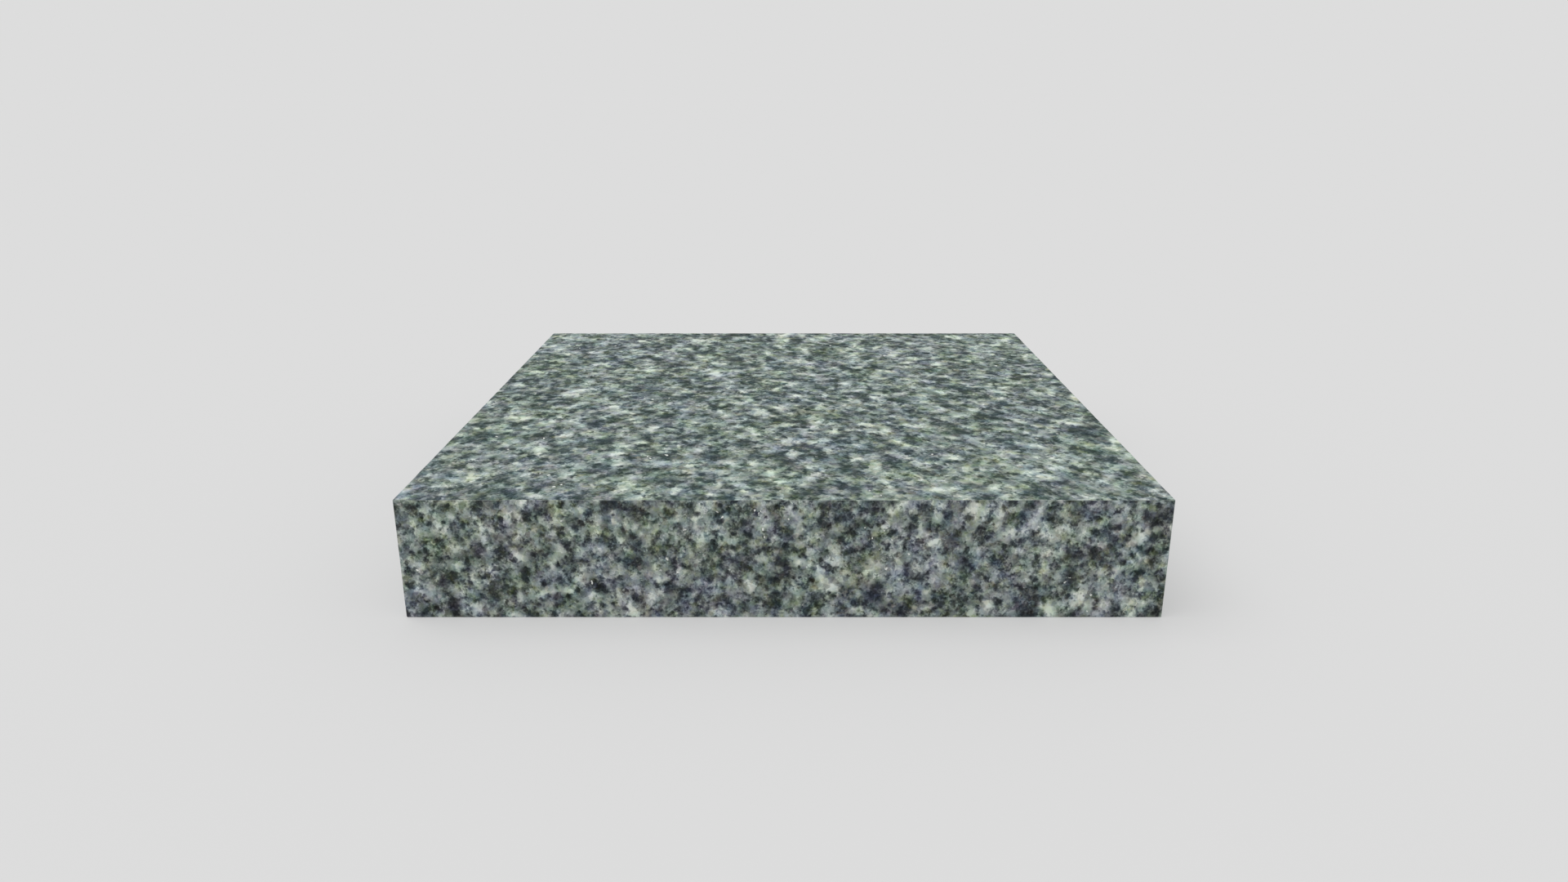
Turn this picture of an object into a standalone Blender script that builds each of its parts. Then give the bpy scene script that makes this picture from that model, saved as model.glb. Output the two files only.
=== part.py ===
"""Granite tooling slab for leatherwork: one sawn and honed block of solid stone.

The slab is a single piece. Leather is laid on its broad top face and struck with stamps, and the
block lies on its broad underside. Metres, +Z up. The origin is the centre of the underside, so the
slab stands on the plane z = 0.
"""

import bmesh
import bpy
from mathutils import Matrix

INCH = 0.0254

# Driving dimensions.
SIDE = 12 * INCH  # length of each edge of the square faces
THICKNESS = 2 * INCH  # from the underside to the working face
ARRIS = 0.0004  # width of the flat that takes the sharpness off every edge

# The stone seen from a few metres away, where its speckle blends to one grey-green.
STONE_COLOUR = (0.205, 0.240, 0.225, 1.0)  # linear
STONE_ROUGHNESS = 0.35


def clear_scene():
    """Removes every object, so that only the slab is left."""
    for leftover in list(bpy.data.objects):
        bpy.data.objects.remove(leftover, do_unlink=True)


def granite_material():
    """The fine-grained grey-green granite of the slab, as one plain finish."""
    material = bpy.data.materials.new("granite")
    material.use_nodes = True
    surface = material.node_tree.nodes["Principled BSDF"]
    surface.inputs["Base Color"].default_value = STONE_COLOUR
    surface.inputs["Roughness"].default_value = STONE_ROUGHNESS
    surface.inputs["Metallic"].default_value = 0.0
    return material


def sawn_block(side, thickness, arris):
    """A square block on z = 0, centred on the Z axis, with every edge and corner eased flat."""
    block = bmesh.new()
    bmesh.ops.create_cube(block, size=1.0)
    size = Matrix.Diagonal((side, side, thickness, 1.0))
    lift = Matrix.Translation((0.0, 0.0, thickness / 2))
    bmesh.ops.transform(block, matrix=lift @ size, verts=block.verts)
    bmesh.ops.bevel(
        block,
        geom=block.edges[:],
        offset=arris / 2**0.5,
        offset_type="OFFSET",
        affect="EDGES",
        segments=1,
        profile=0.5,
        material=-1,
    )
    bmesh.ops.recalc_face_normals(block, faces=block.faces)
    mesh = bpy.data.meshes.new("granite_slab")
    block.to_mesh(mesh)
    block.free()
    return mesh


def build_slab():
    """The whole object: one solid block of stone, in its own granite."""
    slab = bpy.data.objects.new("granite_slab", sawn_block(SIDE, THICKNESS, ARRIS))
    slab.data.materials.append(granite_material())
    bpy.context.scene.collection.objects.link(slab)


clear_scene()
build_slab()
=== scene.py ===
"""The looks of a granite tooling slab: one block of fine speckled grey-green stone in a pale studio.

Leather is laid on the broad top face and struck with stamps, so the top is honed flat and smooth. The
four sides are rubbed square with a coarser stone, and the underside is left as the saw cut it. Metres,
+Z up.
"""

import logging
import math
from dataclasses import dataclass
from enum import Enum

import bmesh
import bpy
from mathutils import Matrix, Vector, noise


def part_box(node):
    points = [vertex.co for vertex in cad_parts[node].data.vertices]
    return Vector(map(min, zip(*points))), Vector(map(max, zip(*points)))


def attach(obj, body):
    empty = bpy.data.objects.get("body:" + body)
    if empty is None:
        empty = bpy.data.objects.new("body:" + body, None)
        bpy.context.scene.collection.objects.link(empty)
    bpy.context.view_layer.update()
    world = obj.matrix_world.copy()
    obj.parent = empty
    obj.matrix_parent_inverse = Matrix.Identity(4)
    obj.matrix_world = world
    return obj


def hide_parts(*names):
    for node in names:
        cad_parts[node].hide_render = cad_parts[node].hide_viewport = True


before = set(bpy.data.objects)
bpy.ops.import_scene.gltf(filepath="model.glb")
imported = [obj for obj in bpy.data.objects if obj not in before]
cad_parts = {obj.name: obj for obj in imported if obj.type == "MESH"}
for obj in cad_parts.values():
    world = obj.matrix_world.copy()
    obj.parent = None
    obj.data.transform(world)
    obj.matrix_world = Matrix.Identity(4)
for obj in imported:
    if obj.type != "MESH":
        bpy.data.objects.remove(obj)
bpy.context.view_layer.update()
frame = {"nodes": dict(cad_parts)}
MM = 0.001

log = logging.getLogger("granite_slab")

Colour = tuple[float, float, float]
Socket = bpy.types.NodeSocket
Three = tuple[Socket, Socket, Socket]


class Dressing(Enum):
    """How a face of the block was finished, and the material slot that shows it."""

    HONED = 0
    RUBBED = 1
    SAWN = 2


class BlockSide(Enum):
    """A side of the block: the axis that it faces along, and whether it faces the axis's high end."""

    TOP = (2, True)
    UNDER = (2, False)
    FRONT = (1, False)
    BACK = (1, True)
    RIGHT = (0, True)
    LEFT = (0, False)

    def dressing(self) -> Dressing:
        """Says how this side is finished.

        Returns:
            The side's dressing.
        """
        if self is BlockSide.TOP:
            return Dressing.HONED
        return Dressing.SAWN if self is BlockSide.UNDER else Dressing.RUBBED


class Graph:
    """Adds nodes to one shader node tree and joins them up."""

    def __init__(self, tree: bpy.types.NodeTree) -> None:
        """Starts with the tree that the nodes go in."""
        self.tree = tree

    def add(self, kind: str, **settings: object) -> bpy.types.Node:
        """Adds a node.

        Args:
            kind: Blender's name for the node type.
            settings: the node's own properties, by name.

        Returns:
            The new node.
        """
        node = self.tree.nodes.new(kind)
        for name, value in settings.items():
            setattr(node, name, value)
        return node

    def feed(self, socket: Socket, value: object) -> None:
        """Joins a socket to another one, or sets it to a plain number or colour.

        Args:
            socket: the input to fill.
            value: an output socket, a number, a colour or a vector.
        """
        if isinstance(value, bpy.types.NodeSocket):
            self.tree.links.new(value, socket)
        elif isinstance(value, tuple) and len(value) == 3 and socket.type == "RGBA":
            socket.default_value = (*value, 1.0)
        else:
            socket.default_value = value

    def math(self, operation: str, first: object, second: object) -> Socket:
        """One step of arithmetic on two values.

        Args:
            operation: the sum to do, as the Math node names it.
            first: the first value or socket.
            second: the second value or socket.

        Returns:
            The result's socket.
        """
        node = self.add("ShaderNodeMath", operation=operation)
        self.feed(node.inputs[0], first)
        self.feed(node.inputs[1], second)
        return node.outputs[0]

    def add_share(self, base: object, value: Socket, weight: float) -> Socket:
        """Adds one weighted value to another.

        Args:
            base: the value to add to.
            value: the value that is weighted.
            weight: how much of it is added.

        Returns:
            The sum's socket.
        """
        node = self.add("ShaderNodeMath", operation="MULTIPLY_ADD")
        self.feed(node.inputs[0], value)
        node.inputs[1].default_value = weight
        self.feed(node.inputs[2], base)
        return node.outputs[0]

    def total(self, start: float, *shares: tuple[Socket, float]) -> Socket:
        """A weighted sum of values.

        Args:
            start: what the sum comes to where every value is 0.5.
            shares: each value with its weight.

        Returns:
            The sum's socket.
        """
        result = start - sum(weight for _, weight in shares) / 2
        for value, weight in shares:
            result = self.add_share(result, value, weight)
        return result

    def step(self, value: object, low: float, high: float) -> Socket:
        """A smooth step: 0 below low, 1 above high. With low above high it falls instead.

        Args:
            value: the value or socket to test.
            low: where the step starts.
            high: where the step ends.

        Returns:
            The step's socket, from 0 to 1.
        """
        falls = low > high
        node = self.add("ShaderNodeMapRange", interpolation_type="SMOOTHSTEP")
        self.feed(node.inputs["Value"], value)
        node.inputs["From Min"].default_value = min(low, high)
        node.inputs["From Max"].default_value = max(low, high)
        node.inputs["To Min"].default_value = 1.0 if falls else 0.0
        node.inputs["To Max"].default_value = 0.0 if falls else 1.0
        return node.outputs["Result"]

    def vector(self, operation: str, first: object, second: object = (0.0, 0.0, 0.0)) -> Socket:
        """One step of arithmetic on two vectors.

        Args:
            operation: the sum to do, as the Vector Math node names it.
            first: the first vector or socket.
            second: the second vector or socket, where the sum has one.

        Returns:
            The resulting vector's socket.
        """
        node = self.add("ShaderNodeVectorMath", operation=operation)
        self.feed(node.inputs[0], first)
        self.feed(node.inputs[1], second)
        return node.outputs[0]

    def times(self, colour: Socket, tint: object) -> Socket:
        """Multiplies one colour by another.

        Args:
            colour: the first colour.
            tint: the second colour.

        Returns:
            The product's socket.
        """
        node = self.add("ShaderNodeMix", data_type="RGBA", blend_type="MULTIPLY")
        node.inputs["Factor"].default_value = 1.0
        self.feed(node.inputs[6], colour)
        self.feed(node.inputs[7], tint)
        return node.outputs[2]

    def blend(self, share: object, base: object, over: object) -> Socket:
        """Mixes two colours.

        Args:
            share: how much of the second colour shows, from 0 to 1.
            base: the first colour.
            over: the second colour.

        Returns:
            The mixed colour's socket.
        """
        node = self.add("ShaderNodeMix", data_type="RGBA", clamp_factor=True)
        self.feed(node.inputs["Factor"], share)
        self.feed(node.inputs[6], base)
        self.feed(node.inputs[7], over)
        return node.outputs[2]

    def mix(self, share: object, base: object, over: object) -> Socket:
        """Mixes two plain values.

        Args:
            share: how much of the second value shows, from 0 to 1.
            base: the first value.
            over: the second value.

        Returns:
            The mixed value's socket.
        """
        node = self.add("ShaderNodeMix", data_type="FLOAT", clamp_factor=True)
        self.feed(node.inputs["Factor"], share)
        self.feed(node.inputs[2], base)
        self.feed(node.inputs[3], over)
        return node.outputs[0]

    def ramp(self, value: Socket, stops: tuple[tuple[float, Colour], ...]) -> Socket:
        """A colour read off a scale.

        Args:
            value: where to read, from 0 to 1.
            stops: the scale's places and their colours, lowest first.

        Returns:
            The colour's socket.
        """
        node = self.add("ShaderNodeValToRGB")
        scale = node.color_ramp
        for place, _ in stops[2:]:
            scale.elements.new(place)
        for element, (place, colour) in zip(scale.elements, stops):
            element.position = place
            element.color = (*colour, 1.0)
        self.feed(node.inputs[0], value)
        return node.outputs[0]

    def cells(self, at: Socket, size_mm: float) -> bpy.types.Node:
        """Packed cells, each with a random colour of its own.

        Args:
            at: the position to read them at, in metres.
            size_mm: the usual width of a cell, in millimetres.

        Returns:
            The Voronoi node, with a Color and a Distance output.
        """
        node = self.add("ShaderNodeTexVoronoi", voronoi_dimensions="3D", feature="F1")
        self.feed(node.inputs["Vector"], at)
        node.inputs["Scale"].default_value = 1.0 / (size_mm * MM)
        return node

    def parts(self, colour: Socket) -> Three:
        """Splits a colour into its three values.

        Args:
            colour: the colour.

        Returns:
            The sockets of its red, green and blue.
        """
        node = self.add("ShaderNodeSeparateColor")
        self.feed(node.inputs[0], colour)
        return node.outputs[0], node.outputs[1], node.outputs[2]

    def joined(self, red: object, green: object, blue: object) -> Socket:
        """Makes a colour of three values.

        Args:
            red: the first value.
            green: the second value.
            blue: the third value.

        Returns:
            The colour's socket.
        """
        node = self.add("ShaderNodeCombineColor")
        for socket, value in zip(node.inputs, (red, green, blue)):
            self.feed(socket, value)
        return node.outputs[0]


@dataclass(frozen=True)
class Clouds:
    """Soft fractal noise: the size of its largest lumps, and how many finer layers ride on them.

    rough is how strong each finer layer is against the one before.
    """

    size_mm: float
    detail: float
    rough: float = 0.5

    def _node(self, graph: Graph, at: Socket) -> bpy.types.Node:
        """Adds the noise.

        Args:
            graph: where the node goes.
            at: the position to read it at, in metres.

        Returns:
            The noise node, with a Fac and a Color output.
        """
        node = graph.add("ShaderNodeTexNoise", noise_dimensions="3D")
        graph.feed(node.inputs["Vector"], at)
        node.inputs["Scale"].default_value = 1.0 / (self.size_mm * MM)
        node.inputs["Detail"].default_value = self.detail
        node.inputs["Roughness"].default_value = self.rough
        return node

    def value(self, graph: Graph, at: Socket) -> Socket:
        """Reads one value, from 0 to 1 and mostly near the middle."""
        return self._node(graph, at).outputs["Fac"]

    def three(self, graph: Graph, at: Socket) -> Three:
        """Reads three such values, which have nothing to do with each other."""
        return graph.parts(self._node(graph, at).outputs["Color"])

    def pushed(self, graph: Graph, at: Socket, reach_mm: float) -> Socket:
        """Pushes positions about, so that cells read there have ragged borders.

        Args:
            graph: where the nodes go.
            at: the positions, in metres.
            reach_mm: how far they are pushed at most each way, in millimetres.

        Returns:
            The socket of the pushed positions.
        """
        centred = graph.vector("SUBTRACT", self._node(graph, at).outputs["Color"], (0.5, 0.5, 0.5))
        pushed = graph.add("ShaderNodeVectorMath", operation="MULTIPLY_ADD")
        graph.feed(pushed.inputs[0], centred)
        graph.feed(pushed.inputs[1], (2 * reach_mm * MM,) * 3)
        graph.feed(pushed.inputs[2], at)
        return pushed.outputs[0]


@dataclass(frozen=True)
class Spots:
    """Rounded grains of one kind, scattered through the rock, each with a size of its own.

    radius, spread and softness are the usual radius, how much it differs from grain to grain, and how wide
    the border is each way. All three are shares of the distance apart.
    """

    apart_mm: float
    radius: float
    spread: float
    softness: float
    roundness: float = 0.7

    def share(self, graph: Graph, at: Socket, *shrink: tuple[Socket, float]) -> Socket:
        """Finds how much of the rock is this grain.

        Args:
            graph: where the nodes go.
            at: the position to read it at.
            shrink: values that make the grains smaller where they are high, and how much.

        Returns:
            The share of this grain, from 0 to 1.
        """
        cells = graph.cells(at, self.apart_mm)
        chance, _, _ = graph.parts(cells.outputs["Color"])
        own = ((cells.outputs["Distance"], self.roundness), (chance, -self.spread))
        edge = graph.total(0.5 - self.radius, *own, *shrink)
        return graph.step(edge, self.softness, -self.softness)


def mineral(lightness: float, red: float, blue: float) -> Colour:
    """A mineral's colour, given the way a stone merchant would match it.

    Args:
        lightness: how light it looks, from 0 for black to 1 for white.
        red: its red as a share of its green.
        blue: its blue as a share of its green.

    Returns:
        Its linear red, green and blue.
    """
    light = ((lightness * 100 + 16) / 116) ** 3
    green = light / (0.2126 * red + 0.7152 + 0.0722 * blue)
    return (green * red, green, green * blue)


class Mineral(Enum):
    """The rock's minerals from the darkest to the palest: how light each looks, and its colour."""

    MICA = (0.14, mineral(0.14, 0.86, 1.12))
    HORNBLENDE = (0.27, mineral(0.27, 0.84, 1.045))
    CHLORITE = (0.36, mineral(0.36, 0.843, 0.985))
    QUARTZ = (0.47, mineral(0.47, 0.85, 0.958))
    GREY_FELDSPAR = (0.58, mineral(0.58, 0.863, 0.935))
    PALE_FELDSPAR = (0.70, mineral(0.70, 0.877, 0.915))
    WHITE_FELDSPAR = (0.90, mineral(0.90, 0.915, 0.90))


@dataclass(frozen=True)
class Glints:
    """Painted highlights: the few tiny crystal faces that catch the light, painted into the colour as
    near-white specks, which come in little groups.

    A face fades in from rim to core. rare and grouped are the steps that pick a few cells and a few
    groups.
    """

    apart_mm: float = 1.5
    group_mm: float = 14.0
    rim: float = 0.48
    core: float = 0.25
    rare: tuple[float, float] = (0.95, 0.98)
    grouped: tuple[float, float] = (0.85, 0.89)
    # the near-white colour of the painted highlights
    colour: Colour = mineral(0.93, 0.97, 0.95)

    def share(self, graph: Graph, at: Socket) -> Socket:
        """Finds the painted glints.

        Args:
            graph: where the nodes go.
            at: the position in the block.

        Returns:
            The share of painted glint, from 0 to 1.
        """
        cells = graph.cells(at, self.apart_mm)
        chance, _, _ = graph.parts(cells.outputs["Color"])
        group, _, _ = graph.parts(graph.cells(at, self.group_mm).outputs["Color"])
        small = graph.step(cells.outputs["Distance"], self.rim, self.core)
        picked = graph.math("MULTIPLY", graph.step(chance, *self.rare), graph.step(group, *self.grouped))
        return graph.math("MULTIPLY", small, picked)


@dataclass(frozen=True)
class Tinge:
    """How the rock's red and blue wander against its green, from place to place and grain to grain.

    Each weight says how far a pattern moves that share between its own lowest and highest, and
    red_with_blue how far the blue's mottle moves the red too. creamy and rusty are the steps that pick the
    cream patches and the few rusty grains. in_dark and in_pale are how much of the tinge the darkest and
    the palest minerals take up, where all of it is the most that any can.
    """

    drift: Clouds = Clouds(size_mm=22.0, detail=1.0)
    mottle: Clouds = Clouds(size_mm=5.5, detail=3.0, rough=0.6)
    red: float = 0.987
    red_drift: float = 0.165
    red_mottle: float = 0.74
    red_with_blue: float = 0.185
    red_crystal: float = 0.05
    red_grain: float = 0.12
    blue: float = 0.992
    blue_drift: float = 0.70
    blue_mottle: float = 1.2
    blue_crystal: float = 0.08
    blue_grain: float = 0.18
    blue_eye: float = -0.12
    cream: float = -0.30
    creamy: tuple[float, float] = (0.53, 0.68)
    rust_red: float = 0.07
    rust_blue: float = -0.035
    rusty: tuple[float, float] = (0.92, 0.97)
    in_dark: float = 1.3
    in_pale: float = 0.2

    def colour(self, graph: Graph, at: Socket, crystal: Three, grain: Three, eye: Socket) -> Socket:
        """Finds the tinge in full strength.

        Args:
            graph: where the nodes go.
            at: the position in the block.
            crystal: the three random values of the large crystal there.
            grain: the three random values of the small grain there.
            eye: the share of pale eye there.

        Returns:
            The colour to multiply by.
        """
        drift = self.drift.three(graph, at)
        mottle = self.mottle.three(graph, at)
        red = graph.total(
            self.red,
            (drift[0], self.red_drift),
            (drift[1], self.red_drift),
            (mottle[0], self.red_mottle),
            (mottle[1], self.red_with_blue),
            (crystal[2], self.red_crystal),
            (grain[2], self.red_grain),
        )
        blue = graph.total(
            self.blue,
            (drift[1], self.blue_drift),
            (mottle[1], self.blue_mottle),
            (crystal[1], self.blue_crystal),
            (grain[1], self.blue_grain),
            (eye, self.blue_eye),
        )
        blue = graph.add_share(blue, graph.step(mottle[2], *self.creamy), self.cream)
        rust = graph.step(grain[2], *self.rusty)
        red = graph.add_share(red, rust, self.rust_red)
        blue = graph.add_share(blue, rust, self.rust_blue)
        return graph.joined(red, 1.0, blue)

    def laid(self, graph: Graph, base: Socket, tone: Socket, tinge: Socket) -> Socket:
        """Lays the tinge over the minerals' own colours.

        Args:
            graph: where the nodes go.
            base: the minerals' own colour.
            tone: how pale it is, from 0 to 1.
            tinge: the tinge in full strength.

        Returns:
            The tinged colour.
        """
        strength = graph.add_share(self.in_dark, tone, self.in_pale - self.in_dark)
        return graph.times(base, graph.blend(strength, (1.0, 1.0, 1.0), tinge))


@dataclass(frozen=True)
class GraniteGrain:
    """The speckle of the rock, right through the block.

    Tones run from 0 for black mica to 1 for white feldspar. pale and black are the usual tones of the
    feldspar and of the mica, and the weights after them say how far each pattern moves that tone between
    its own lowest and highest. The gather weights say how much each pattern keeps the mica out of its high
    places. lie turns the patterns, in degrees, so that no face is cut along them.
    """

    lie: tuple[float, float, float] = (34.0, 22.0, 51.0)
    shake: Clouds = Clouds(size_mm=1.8, detail=2.0, rough=0.6)
    shake_reach_mm: float = 1.3
    cloud: Clouds = Clouds(size_mm=10.0, detail=2.0)
    patch: Clouds = Clouds(size_mm=5.2, detail=1.0)
    blotch: Clouds = Clouds(size_mm=3.6, detail=2.0, rough=0.6)
    dust: Clouds = Clouds(size_mm=1.0, detail=3.0, rough=0.6)
    crystal_mm: float = 4.5
    grain_mm: float = 2.2
    eyes: Spots = Spots(apart_mm=9.0, radius=0.20, spread=0.25, softness=0.24)
    eye_dust: float = 0.7
    eye_patch: float = -0.5
    pale: float = 0.597
    pale_cloud: float = 0.54
    pale_patch: float = 0.57
    pale_crystal: float = 0.18
    pale_grain: float = 0.16
    pale_dust: float = 0.34
    pale_eye: float = 0.16
    black: float = 0.25
    black_grain: float = 0.12
    black_dust: float = 0.30
    black_patch: float = 0.30
    clots: Spots = Spots(apart_mm=2.9, radius=0.09, spread=0.5, softness=0.41)
    flakes: Spots = Spots(apart_mm=1.5, radius=0.07, spread=0.5, softness=0.41)
    flake_share: float = 0.85
    gather_cloud: float = 1.2
    gather_patch: float = 0.3
    gather_blotch: float = 2.3
    gather_dust: float = 0.5
    gather_eye: float = 0.35
    tinge: Tinge = Tinge()
    glints: Glints = Glints()

    def group(self) -> bpy.types.NodeTree:
        """Builds the node group that every stone finish shares.

        Returns:
            The group: a colour, a share of soft mica and a height, at one position.
        """
        tree = bpy.data.node_groups.new("granite_grain", "ShaderNodeTree")
        tree.interface.new_socket("Vector", in_out="INPUT", socket_type="NodeSocketVector")
        tree.interface.new_socket("Color", in_out="OUTPUT", socket_type="NodeSocketColor")
        tree.interface.new_socket("Mica", in_out="OUTPUT", socket_type="NodeSocketFloat")
        tree.interface.new_socket("Height", in_out="OUTPUT", socket_type="NodeSocketFloat")
        graph = Graph(tree)
        turned = graph.add("ShaderNodeMapping")
        turned.inputs["Rotation"].default_value = tuple(math.radians(angle) for angle in self.lie)
        graph.feed(turned.inputs["Vector"], graph.add("NodeGroupInput").outputs["Vector"])
        grown = self._grow(graph, turned.outputs["Vector"])
        out = graph.add("NodeGroupOutput")
        for name, value in grown.items():
            graph.feed(out.inputs[name], value)
        return tree

    def _grow(self, graph: Graph, at: Socket) -> dict[str, Socket]:
        """Grows the minerals together.

        Args:
            graph: where the nodes go.
            at: the position in the block.

        Returns:
            The group's outputs, by name.
        """
        ragged = self.shake.pushed(graph, at, self.shake_reach_mm)
        cloud = self.cloud.value(graph, at)
        patch = self.patch.value(graph, at)
        blotch = self.blotch.value(graph, at)
        dust = self.dust.value(graph, at)
        crystal = graph.parts(graph.cells(ragged, self.crystal_mm).outputs["Color"])
        grain = graph.parts(graph.cells(ragged, self.grain_mm).outputs["Color"])
        eye = self.eyes.share(graph, ragged, (dust, self.eye_dust), (patch, self.eye_patch))
        pale = graph.total(
            self.pale,
            (cloud, self.pale_cloud),
            (patch, self.pale_patch),
            (crystal[0], self.pale_crystal),
            (grain[0], self.pale_grain),
            (dust, self.pale_dust),
        )
        pale = graph.add_share(pale, eye, self.pale_eye)
        black = graph.total(
            self.black,
            (grain[0], self.black_grain),
            (dust, self.black_dust),
            (patch, self.black_patch),
        )
        gather = (
            (cloud, self.gather_cloud),
            (patch, self.gather_patch),
            (blotch, self.gather_blotch),
            (dust, self.gather_dust),
            (eye, self.gather_eye),
        )
        clot = self.clots.share(graph, ragged, *gather)
        flake = self.flakes.share(graph, ragged, *gather)
        mica = graph.math("MAXIMUM", clot, graph.math("MULTIPLY", flake, self.flake_share))
        tone = graph.mix(mica, pale, black)
        colour = graph.ramp(tone, tuple(kind.value for kind in Mineral))
        tinge = self.tinge.colour(graph, at, crystal, grain, eye)
        colour = self.tinge.laid(graph, colour, tone, tinge)
        # painted highlights: near-white glints blended into the base colour
        colour = graph.blend(self.glints.share(graph, ragged), colour, self.glints.colour)
        return {"Color": colour, "Mica": mica, "Height": tone}


@dataclass(frozen=True)
class EdgeWear:
    """The rubbed band along the block's edges, where the stone is bruised a little paler.

    A mottle breaks the band up. The band is whole where the weighted sum of the depth and the mottle is
    below whole_at, and gone above gone_at.
    """

    centre: Vector
    half: Vector
    mottle: Clouds = Clouds(size_mm=2.5, detail=2.0)
    mottle_weight: float = 0.9
    depth_weight: float = 0.5
    gone_at: float = 0.75
    whole_at: float = 0.25

    def group(self) -> bpy.types.NodeTree:
        """Builds the node group that every stone finish shares.

        Returns:
            The group: from a position and the band's width, how much the stone there is rubbed.
        """
        tree = bpy.data.node_groups.new("edge_wear", "ShaderNodeTree")
        tree.interface.new_socket("Vector", in_out="INPUT", socket_type="NodeSocketVector")
        tree.interface.new_socket("Width", in_out="INPUT", socket_type="NodeSocketFloat")
        tree.interface.new_socket("Wear", in_out="OUTPUT", socket_type="NodeSocketFloat")
        graph = Graph(tree)
        given = graph.add("NodeGroupInput")
        place = graph.vector("SUBTRACT", given.outputs["Vector"], tuple(self.centre))
        inside = graph.vector("SUBTRACT", tuple(self.half), graph.vector("ABSOLUTE", place))
        split = graph.add("ShaderNodeSeparateXYZ")
        graph.feed(split.inputs[0], inside)
        deep_x, deep_y, deep_z = split.outputs
        lesser = graph.math("MINIMUM", deep_x, deep_y)
        greater = graph.math("MAXIMUM", deep_x, deep_y)
        from_edge = graph.math("MAXIMUM", lesser, graph.math("MINIMUM", greater, deep_z))
        depth = graph.math("DIVIDE", from_edge, given.outputs["Width"])
        mottle = self.mottle.value(graph, given.outputs["Vector"])
        worn = graph.total(0.5, (depth, self.depth_weight), (mottle, self.mottle_weight))
        out = graph.add("NodeGroupOutput")
        graph.feed(out.inputs["Wear"], graph.step(worn, self.gone_at, self.whole_at))
        return tree


@dataclass(frozen=True)
class SawMarks:
    """The faint arcs that a large round blade leaves, strong in some places and gone in others.

    centre_mm is how far below the origin the blade's centre lies, on every axis, and feed_mm is how far
    apart its arcs are. The marks are gone where the fading is below gone_at, and whole above whole_at.
    """

    centre_mm: float = 400.0
    feed_mm: float = 5.2
    waver: float = 1.5
    waver_detail: float = 2.0
    waver_scale: float = 2.0
    fading: Clouds = Clouds(size_mm=30.0, detail=2.0)
    gone_at: float = 0.35
    whole_at: float = 0.65

    def group(self) -> bpy.types.NodeTree:
        """Builds the node group that every stone finish shares.

        Returns:
            The group: from a position, how high the marks stand there.
        """
        tree = bpy.data.node_groups.new("saw_marks", "ShaderNodeTree")
        tree.interface.new_socket("Vector", in_out="INPUT", socket_type="NodeSocketVector")
        tree.interface.new_socket("Height", in_out="OUTPUT", socket_type="NodeSocketFloat")
        graph = Graph(tree)
        at = graph.add("NodeGroupInput").outputs["Vector"]
        rings = graph.add("ShaderNodeTexWave", wave_type="RINGS", rings_direction="SPHERICAL")
        graph.feed(rings.inputs["Vector"], graph.vector("ADD", at, (self.centre_mm * MM,) * 3))
        # At scale 1 the node's rings are a tenth of pi apart.
        rings.inputs["Scale"].default_value = math.pi / (10.0 * self.feed_mm * MM)
        rings.inputs["Distortion"].default_value = self.waver
        rings.inputs["Detail"].default_value = self.waver_detail
        rings.inputs["Detail Scale"].default_value = self.waver_scale
        shown = graph.step(self.fading.value(graph, at), self.gone_at, self.whole_at)
        out = graph.add("NodeGroupOutput")
        graph.feed(out.inputs["Height"], graph.math("MULTIPLY", rings.outputs["Fac"], shown))
        return tree


@dataclass(frozen=True)
class StoneGroups:
    """The node groups that every stone finish places, and the width of the eased edge."""

    grain: bpy.types.NodeTree
    wear: bpy.types.NodeTree
    marks: bpy.types.NodeTree
    arris_mm: float


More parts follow.
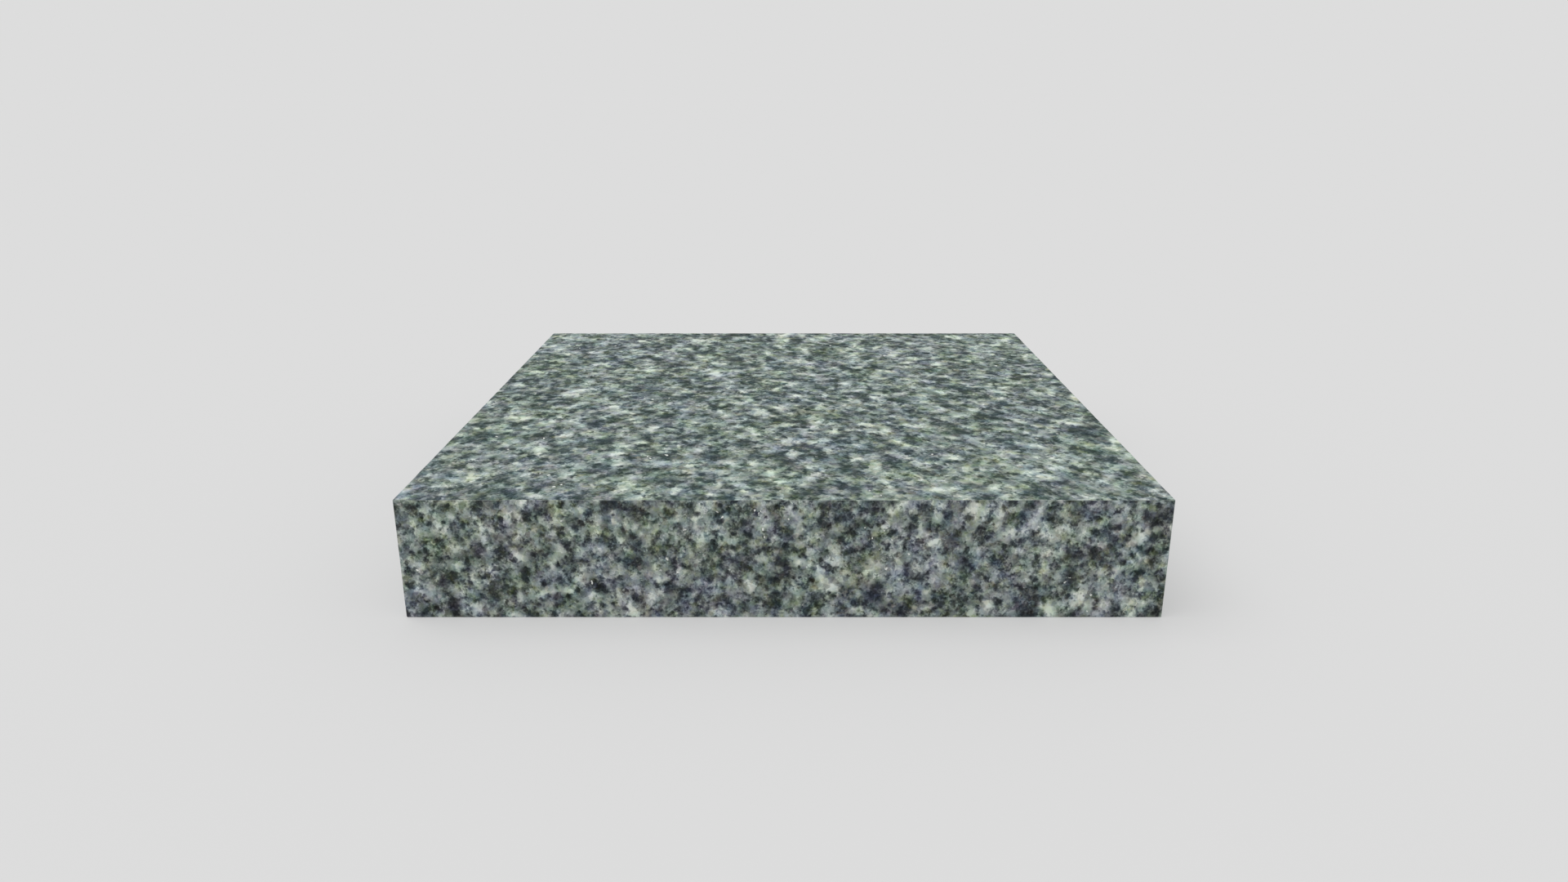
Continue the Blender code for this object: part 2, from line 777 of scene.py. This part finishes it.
@dataclass(frozen=True)
class StoneFinish:
    """One dressed surface of the granite.

    pits_mm and marks_mm are how deep the grain and the blade's marks stand, and paler is how much the worn
    edge shows. deeper darkens the speckle where it is above 1, and painted_sheen is how much of a pale
    green painted sheen lies over the colour, standing in for the light that the honed top reflects.
    coarser is how much larger the grain shows than in the rock, and longer how much it is drawn out from
    front to back.
    """

    name: str
    roughness: float
    mica_roughness: float
    pits_mm: float
    marks_mm: float
    paler: float
    deeper: float = 1.0
    # share of painted sheen: a pale green veil standing in for reflected light
    painted_sheen: float = 0.0
    coarser: float = 1.0
    longer: float = 1.0
    specular: float = 0.04
    worn_roughness: float = 0.75
    worn_colour: Colour = mineral(0.74, 0.93, 0.95)
    # the colour of the painted sheen
    painted_sheen_colour: Colour = mineral(0.76, 0.25, 0.70)

    def material(self, shared: StoneGroups) -> bpy.types.Material:
        """Builds the finish.

        Args:
            shared: the node groups that every finish places.

        Returns:
            The material.
        """
        material = bpy.data.materials.new(self.name)
        material.use_nodes = True
        graph = Graph(material.node_tree)
        surface = material.node_tree.nodes["Principled BSDF"]
        at = graph.add("ShaderNodeTexCoord").outputs["Object"]
        finer = 1.0 / self.coarser
        speckle = graph.add("ShaderNodeGroup", node_tree=shared.grain)
        read_at = graph.vector("MULTIPLY", at, (finer, finer / self.longer, finer))
        graph.feed(speckle.inputs["Vector"], read_at)
        edge = graph.add("ShaderNodeGroup", node_tree=shared.wear)
        graph.feed(edge.inputs["Vector"], at)
        edge.inputs["Width"].default_value = shared.arris_mm * MM
        marks = graph.add("ShaderNodeGroup", node_tree=shared.marks)
        graph.feed(marks.inputs["Vector"], at)
        worn = graph.math("MULTIPLY", edge.outputs["Wear"], self.paler)
        deep = graph.add("ShaderNodeGamma")
        graph.feed(deep.inputs["Color"], graph.blend(worn, speckle.outputs["Color"], self.worn_colour))
        deep.inputs["Gamma"].default_value = self.deeper
        # painted sheen: a pale green veil blended over the colour, standing in for the light that the
        # honed top reflects
        colour = graph.blend(self.painted_sheen, deep.outputs["Color"], self.painted_sheen_colour)
        graph.feed(surface.inputs["Base Color"], colour)
        rough = graph.mix(speckle.outputs["Mica"], self.roughness, self.mica_roughness)
        rough = graph.mix(edge.outputs["Wear"], rough, self.worn_roughness)
        graph.feed(surface.inputs["Roughness"], rough)
        surface.inputs["Specular IOR Level"].default_value = self.specular
        pits = graph.math("MULTIPLY", speckle.outputs["Height"], self.pits_mm * MM)
        bump = graph.add("ShaderNodeBump")
        bump.inputs["Distance"].default_value = 1.0
        height = graph.add_share(pits, marks.outputs["Height"], self.marks_mm * MM)
        graph.feed(bump.inputs["Height"], height)
        graph.feed(surface.inputs["Normal"], bump.outputs["Normal"])
        return material


@dataclass(frozen=True)
class DressedSlab:
    """The block itself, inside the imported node's box.

    net_mm is the width of the squares that its faces are cut into, and cut_reach, in metres, is how near a
    cut a corner has to be to lie on it. wander is how far the width of the eased edge wanders, as a share
    of it: in waves of wander_mm, with a share tremor of shorter waves of tremor_mm. map_side and map_gap
    are the flat map's side and the gap between the faces on it, in one unit.
    """

    low: Vector
    high: Vector
    arris_mm: float = 0.40
    arris_steps: int = 3
    net_mm: float = 2.54
    cut_reach: float = 1e-7
    wander: float = 0.45
    wander_mm: float = 7.0
    tremor: float = 0.6
    tremor_mm: float = 2.8
    map_side: float = 1024.0
    map_gap: float = 6.0

    def build(self) -> bpy.types.Object:
        """Makes the block, dresses it and puts it in the scene.

        Returns:
            The finished piece.
        """
        block = self._saw()
        self._ease(block)
        self._dress(block)
        mesh = bpy.data.meshes.new("dressed_slab")
        block.to_mesh(mesh)
        block.free()
        slab = bpy.data.objects.new("dressed_slab", mesh)
        bpy.context.scene.collection.objects.link(slab)
        self._add_finishes(mesh)
        return slab

    def _saw(self) -> bmesh.types.BMesh:
        """Saws the block, takes its sharp edges off and cuts its faces into a fine net of squares.

        Returns:
            The closed block.
        """
        size = self.high - self.low
        block = bmesh.new()
        bmesh.ops.create_cube(block, size=1.0)
        place = Matrix.Translation((self.low + self.high) / 2) @ Matrix.Diagonal((*size, 1.0))
        bmesh.ops.transform(block, matrix=place, verts=block.verts)
        bmesh.ops.bevel(
            block,
            geom=block.edges[:],
            offset=self.arris_mm * MM,
            offset_type="OFFSET",
            affect="EDGES",
            segments=self.arris_steps,
            profile=0.5,
            material=-1,
        )
        for axis in range(3):
            across = Vector((0.0, 0.0, 0.0))
            across[axis] = 1.0
            squares = round(size[axis] / (self.net_mm * MM))
            for cut in range(1, squares):
                at = self.low + across * (size[axis] * cut / squares)
                geom = block.verts[:] + block.edges[:] + block.faces[:]
                bmesh.ops.bisect_plane(block, geom=geom, dist=self.cut_reach, plane_co=at, plane_no=across)
        bmesh.ops.recalc_face_normals(block, faces=block.faces)
        self._line_up(block)
        return block

    @staticmethod
    def _line_up(block: bmesh.types.BMesh) -> None:
        """Lists the faces by the corners that they join.

        The bevel puts a few faces in a different order each run, and this gives every run the same list.

        Args:
            block: the sawn block.
        """
        block.verts.index_update()
        ranked = sorted(block.faces, key=lambda face: sorted(vert.index for vert in face.verts))
        for place, face in enumerate(ranked):
            face.index = place
        block.faces.sort()

    def _ease(self, block: bmesh.types.BMesh) -> None:
        """Makes the eased edge a little wider and narrower along its length, as a hand stone leaves it.

        Each point of it moves along the faces that it lies on, so the faces stay flat.

        Args:
            block: the sawn block.
        """
        band = self.arris_mm * MM * 1.01  # a hair more than the edge's width, to take in its last points
        centre = (self.low + self.high) / 2
        half = (self.high - self.low) / 2
        for vert in block.verts:
            place = vert.co - centre
            deep = [half[axis] - abs(place[axis]) for axis in range(3)]
            near = [axis for axis in range(3) if deep[axis] < band]
            if len(near) < 2:
                continue
            wave = noise.noise(vert.co / (self.wander_mm * MM))
            wave += self.tremor * noise.noise(vert.co / (self.tremor_mm * MM))
            width = 1.0 + self.wander * max(-1.0, min(1.0, wave))
            for axis in near:
                vert.co[axis] = centre[axis] + math.copysign(half[axis] - deep[axis] * width, place[axis])

    def _dress(self, block: bmesh.types.BMesh) -> None:
        """Gives each face its dressing and its place on the map.

        Args:
            block: the eased block.
        """
        sheet = block.loops.layers.uv.new("OFBake")
        block.normal_update()
        for face in block.faces:
            axis = max(range(3), key=lambda one: abs(face.normal[one]))
            side = BlockSide((axis, face.normal[axis] > 0))
            face.material_index = side.dressing().value
            for loop in face.loops:
                loop[sheet].uv = self._map_place(side, loop.vert.co)

    def _map_place(self, side: BlockSide, place: Vector) -> tuple[float, float]:
        """Finds where a point of the block lies on the flat map.

        The broad top takes up most of the map. The four narrow sides lie round it at the same scale, and
        the underside is a small square in the corner.

        Args:
            side: the side of the block that the point is drawn with.
            place: the point.

        Returns:
            Its place on the map, from 0 to 1 each way.
        """
        size = self.high - self.low
        share = [(place[axis] - self.low[axis]) / size[axis] for axis in range(3)]
        gap = self.map_gap
        broad = (self.map_side - 4 * gap) / (1 + 2 * size.z / size.x)
        narrow = broad * size.z / size.x
        first = 2 * gap + broad
        second = first + gap + narrow
        corner = self.map_side - first - gap
        places = {
            BlockSide.TOP: (gap + share[0] * broad, gap + share[1] * broad),
            BlockSide.FRONT: (gap + share[0] * broad, first + share[2] * narrow),
            BlockSide.BACK: (gap + (1 - share[0]) * broad, second + share[2] * narrow),
            BlockSide.RIGHT: (first + share[2] * narrow, gap + share[1] * broad),
            BlockSide.LEFT: (second + share[2] * narrow, gap + (1 - share[1]) * broad),
            BlockSide.UNDER: (first + share[0] * corner, first + (1 - share[1]) * corner),
        }
        across, up = places[side]
        return across / self.map_side, up / self.map_side

    def _add_finishes(self, mesh: bpy.types.Mesh) -> None:
        """Adds the finishes in the order of the dressings.

        Args:
            mesh: the slab's mesh.
        """
        centre = (self.low + self.high) / 2
        shared = StoneGroups(
            grain=GraniteGrain().group(),
            wear=EdgeWear(centre, self.high - centre).group(),
            marks=SawMarks().group(),
            arris_mm=self.arris_mm,
        )
        finishes = {
            Dressing.HONED: StoneFinish(
                name="honed_granite",
                roughness=0.46,
                mica_roughness=0.58,
                pits_mm=0.010,
                marks_mm=0.0,
                paler=0.35,
                deeper=1.03,
                # painted sheen on the honed top only
                painted_sheen=0.028,
                coarser=1.25,
                longer=1.12,
            ),
            Dressing.RUBBED: StoneFinish(
                name="rubbed_granite",
                roughness=0.58,
                mica_roughness=0.66,
                pits_mm=0.020,
                marks_mm=0.004,
                paler=0.35,
            ),
            Dressing.SAWN: StoneFinish(
                name="sawn_granite",
                roughness=0.70,
                mica_roughness=0.75,
                pits_mm=0.050,
                marks_mm=0.060,
                paler=0.30,
            ),
        }
        for dressing in Dressing:
            mesh.materials.append(finishes[dressing].material(shared))


@dataclass(frozen=True)
class Studio:
    """A plain pale floor and an even white light, with the camera in front of the slab and above it.

    The floor glows a little, so that it matches the sky and the slab's shadow on it stays faint. Angles
    are in degrees: field is how much the camera takes in from bottom to top, and elevation how far above
    the slab it stands. picture_shape is the picture's height over its width, and widths_away the distance
    from the slab's middle to the camera, in widths of the slab.
    """

    floor_reach: float = 30.0
    floor_gap: float = 0.0001
    pale: float = 0.37
    glow: float = 0.3535
    sky: float = 0.723
    sun: float = 0.95
    sun_width: float = 50.0
    sun_lean: float = -25.0
    field: float = 45.0
    film_mm: float = 36.0
    picture_shape: float = 9 / 16
    elevation: float = 18.0
    widths_away: float = 1.860

    def build(self, low: Vector, high: Vector) -> None:
        """Sets up the floor, the light and the camera.

        Args:
            low: the slab's lowest corner.
            high: the slab's highest corner.
        """
        self._floor(low.z)
        self._light()
        self._camera(low, high)

    def _floor(self, height: float) -> None:
        """Lays the floor just under the slab.

        Args:
            height: the height of the slab's underside.
        """
        sheet = bmesh.new()
        bmesh.ops.create_grid(sheet, x_segments=1, y_segments=1, size=self.floor_reach)
        bmesh.ops.translate(sheet, vec=(0.0, 0.0, height - self.floor_gap), verts=sheet.verts)
        mesh = bpy.data.meshes.new("studio_floor")
        sheet.to_mesh(mesh)
        sheet.free()
        floor = bpy.data.objects.new("studio_floor", mesh)
        bpy.context.scene.collection.objects.link(floor)
        material = bpy.data.materials.new("pale_floor")
        material.use_nodes = True
        surface = material.node_tree.nodes["Principled BSDF"]
        surface.inputs["Base Color"].default_value = (self.pale, self.pale, self.pale, 1.0)
        surface.inputs["Roughness"].default_value = 1.0
        surface.inputs["Specular IOR Level"].default_value = 0.0
        surface.inputs["Emission Color"].default_value = (1.0, 1.0, 1.0, 1.0)
        surface.inputs["Emission Strength"].default_value = self.glow
        mesh.materials.append(material)

    def _light(self) -> None:
        """Fills the room with even light, and adds one broad soft light overhead."""
        world = bpy.data.worlds.new("studio")
        world.use_nodes = True
        world.node_tree.nodes["Background"].inputs["Color"].default_value = (self.sky,) * 3 + (1.0,)
        bpy.context.scene.world = world
        bpy.context.scene.view_settings.view_transform = "Standard"
        lamp = bpy.data.lights.new("overhead", "SUN")
        lamp.energy = self.sun
        lamp.angle = math.radians(self.sun_width)
        light = bpy.data.objects.new("overhead", lamp)
        light.rotation_euler = (0.0, math.radians(self.sun_lean), 0.0)
        bpy.context.scene.collection.objects.link(light)

    def _camera(self, low: Vector, high: Vector) -> None:
        """Stands the camera square to the front face.

        Args:
            low: the slab's lowest corner.
            high: the slab's highest corner.
        """
        lens = bpy.data.cameras.new("camera")
        lens.sensor_width = self.film_mm
        lens.lens = lens.sensor_width / 2 * self.picture_shape / math.tan(math.radians(self.field) / 2)
        camera = bpy.data.objects.new("camera", lens)
        tilt = math.radians(self.elevation)
        back = Vector((0.0, -math.cos(tilt), math.sin(tilt)))
        camera.location = (low + high) / 2 + back * self.widths_away * (high.x - low.x)
        camera.rotation_euler = (math.radians(90.0) - tilt, 0.0, 0.0)
        bpy.context.scene.collection.objects.link(camera)
        bpy.context.scene.camera = camera


def main() -> None:
    """Builds the studio and the slab."""
    log.info("frame: %s", ", ".join(frame["nodes"]))
    low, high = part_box("granite_slab")
    Studio().build(low, high)
    slab = DressedSlab(low, high).build()
    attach(slab, "root")
    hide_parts("granite_slab")
    log.info("%s: %d faces", slab.name, len(slab.data.polygons))


if __name__ == "__main__":
    logging.basicConfig(level=logging.INFO, format="%(message)s")
    main()
